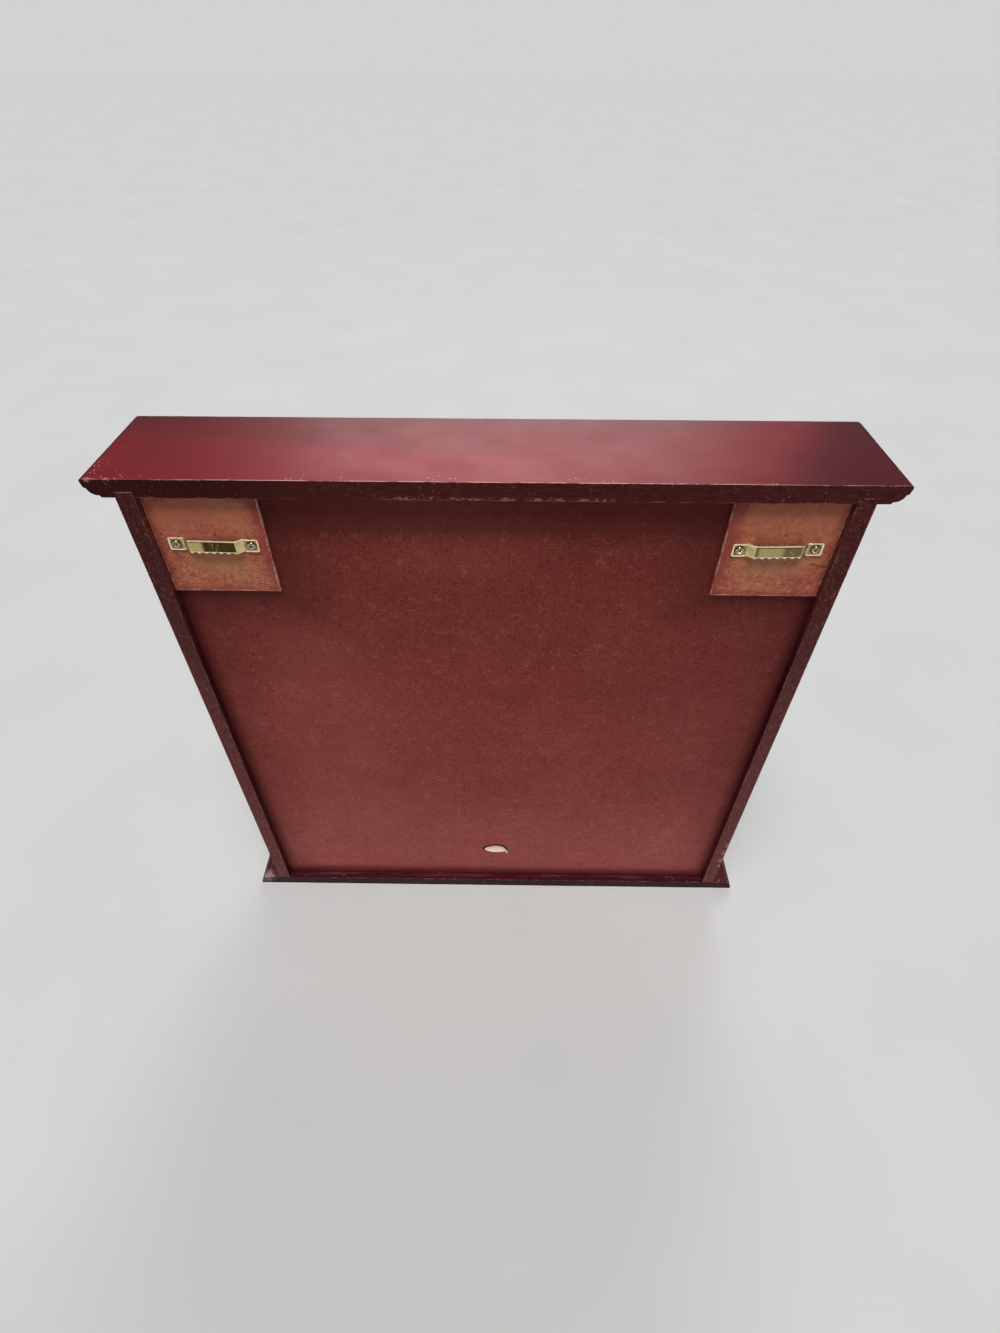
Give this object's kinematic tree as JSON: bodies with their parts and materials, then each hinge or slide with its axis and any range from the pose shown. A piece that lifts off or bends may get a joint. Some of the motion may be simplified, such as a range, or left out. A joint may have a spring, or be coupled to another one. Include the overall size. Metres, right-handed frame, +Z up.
{
  "type": "golf ball display case",
  "caption": "Glazed wooden case for golf balls: moulded crown and base, coved shelves, a hinged glass door and strip hangers on padded corners of its recessed back.",
  "frame": {"origin": "centre of the base board's underside", "axes": "+Z up, +X to the right seen from the front, the door faces -Y and the wall side faces +Y"},
  "size_m": [0.514, 0.0904, 0.489],
  "materials": {
    "stained_wood": "red mahogany stain, satin lacquer",
    "shelf_wood": "red mahogany stain, satin lacquer",
    "panel_board": "stained board, matt, finely speckled",
    "pad_wood": "thin plywood, thin stain",
    "brass": "bright plated",
    "steel": "zinc plated",
    "catch_plastic": "brown moulded",
    "magnet": "dark ferrite",
    "pane": "clear float"
  },
  "bodies": {
    "case": {"crown_board": "stained_wood", "base_board": "stained_wood", "left_side": "stained_wood", "right_side": "stained_wood", "shelf_1": "shelf_wood", "shelf_2": "shelf_wood", "shelf_3": "shelf_wood", "shelf_4": "shelf_wood", "shelf_5": "shelf_wood", "shelf_6": "shelf_wood", "shelf_7": "shelf_wood", "back_panel": "panel_board", "left_hanger_pad": "pad_wood", "right_hanger_pad": "pad_wood", "left_hanger": "brass", "right_hanger": "brass", "lower_case_leaf": "brass", "upper_case_leaf": "brass", "lower_hinge_pin": "brass", "upper_hinge_pin": "brass", "case_leaf_screws": "brass", "hanger_screws": "brass", "base_screws": "steel", "catch_screws": "steel", "catch_poles": "steel", "catch_housing": "catch_plastic", "catch_magnet": "magnet"},
    "door": {"door_left_stile": "stained_wood", "door_right_stile": "stained_wood", "door_top_rail": "stained_wood", "door_bottom_rail": "stained_wood", "bead_left": "stained_wood", "bead_right": "stained_wood", "bead_top": "stained_wood", "bead_bottom": "stained_wood", "door_knob": "brass", "door_leaf_screws": "brass", "door_glass": "pane", "lower_door_leaf": "brass", "upper_door_leaf": "brass", "knob_screw": "steel", "strike_plate": "steel", "strike_screw": "steel"}
  },
  "joints": [
    {"name": "door_hinge", "type": "hinge", "parent": "case", "child": "door", "pos_m": [-0.23855, -0.01185, 0.24425], "axis": [0, 0, -1], "range_deg": [0, 170]}
  ]
}
